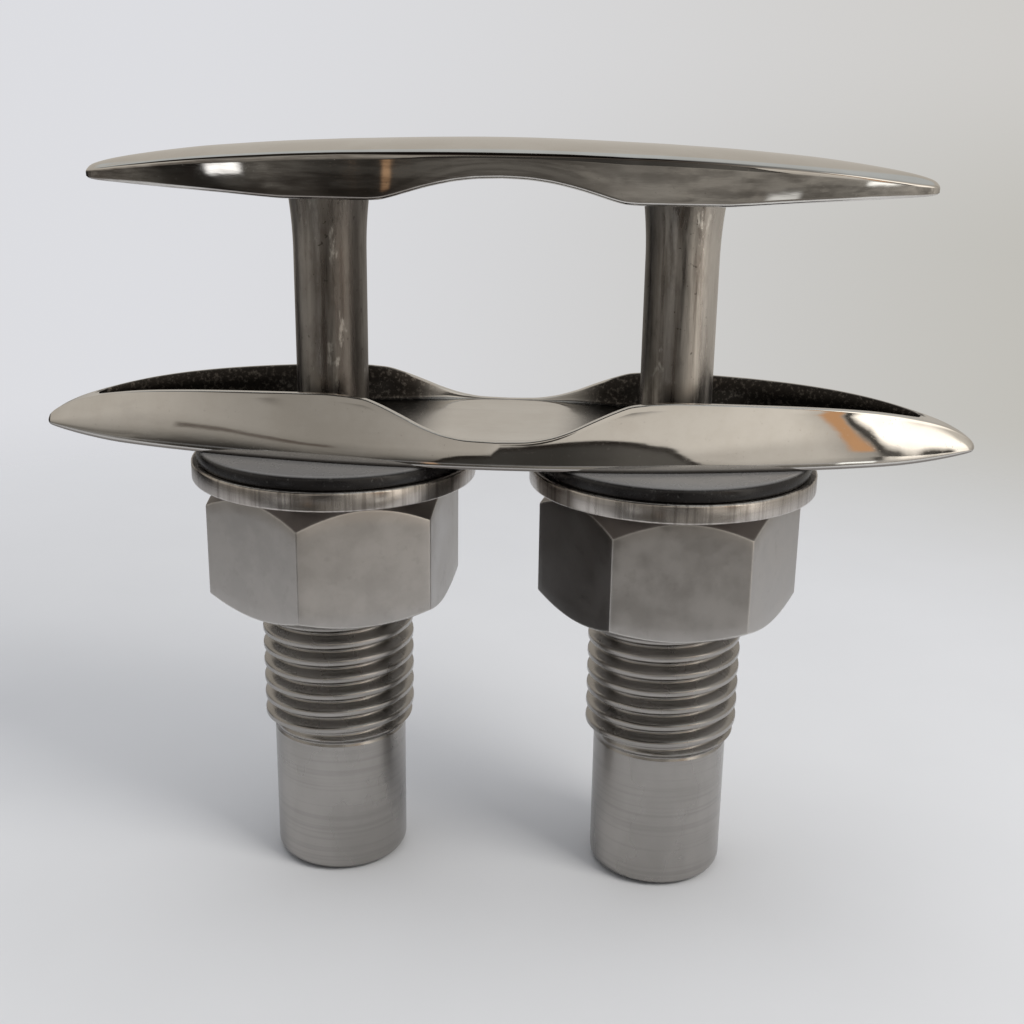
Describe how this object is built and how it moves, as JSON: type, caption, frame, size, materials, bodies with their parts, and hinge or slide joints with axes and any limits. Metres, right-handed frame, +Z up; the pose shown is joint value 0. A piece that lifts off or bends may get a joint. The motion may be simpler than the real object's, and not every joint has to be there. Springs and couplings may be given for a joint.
{
  "type": "pull-up mooring cleat",
  "caption": "Retracting two-post mooring cleat with a pointed horn bar over a boat-shaped recessed base, on threaded closed barrels with washers and hexagon nuts.",
  "frame": {"origin": "middle of the base underside, on the deck surface, half way between the two barrels", "axes": "+X along the cleat towards the right barrel, +Y across the cleat away from the viewed side, +Z up from the deck"},
  "size_m": [0.1744, 0.0536, 0.1417],
  "materials": {
    "polished_stainless": "mirror-polished cast stainless steel",
    "satin_stainless_post": "satin, streaked cast stainless steel",
    "turned_stainless": "turned and rolled stainless steel",
    "nut_stainless": "satin machined stainless steel",
    "washer_stainless": "bright turned stainless steel",
    "black_rubber": "black rubber, smooth",
    "white_nylon": "off-white nylon",
    "seal_rubber": "black nitrile rubber",
    "screw_stainless": "plain stainless steel"
  },
  "bodies": {
    "base": {"base_plate": "polished_stainless", "barrel_left": "turned_stainless", "barrel_right": "turned_stainless", "guide_bush_left": "white_nylon", "guide_bush_right": "white_nylon", "friction_ring_left": "seal_rubber", "friction_ring_right": "seal_rubber"},
    "horn": {"horn_bar": "polished_stainless", "post_left": "satin_stainless_post", "post_right": "satin_stainless_post", "stop_collar_left": "turned_stainless", "stop_collar_right": "turned_stainless", "collar_screw_left": "screw_stainless", "collar_screw_right": "screw_stainless"},
    "washers_left": {"rubber_washer_left": "black_rubber", "steel_washer_left": "washer_stainless"},
    "nut_left": {"hex_nut_left": "nut_stainless"},
    "washers_right": {"rubber_washer_right": "black_rubber", "steel_washer_right": "washer_stainless"},
    "nut_right": {"hex_nut_right": "nut_stainless"}
  },
  "joints": [
    {"name": "horn_lift", "type": "slide", "parent": "base", "child": "horn", "axis": [0, 0, 1], "range_m": [-0.04, 0]},
    {"name": "washers_left_drop", "type": "slide", "parent": "base", "child": "washers_left", "axis": [0, 0, 1], "range_m": [-0.027, 0]},
    {"name": "nut_left_turn", "type": "hinge", "parent": "washers_left", "child": "nut_left", "pos_m": [-0.032, 0, -0.0171], "axis": [0, 0, 1], "range_deg": [-2770, 0]},
    {"name": "washers_right_drop", "type": "slide", "parent": "base", "child": "washers_right", "axis": [0, 0, 1], "range_m": [-0.027, 0]},
    {"name": "nut_right_turn", "type": "hinge", "parent": "washers_right", "child": "nut_right", "pos_m": [0.032, 0, -0.0171], "axis": [0, 0, 1], "range_deg": [-2770, 0]}
  ],
  "couplings": [
    {"joint": "washers_left_drop", "follows": "nut_left_turn", "m_per_rad": 0.00055704},
    {"joint": "washers_right_drop", "follows": "nut_right_turn", "m_per_rad": 0.00055704}
  ]
}
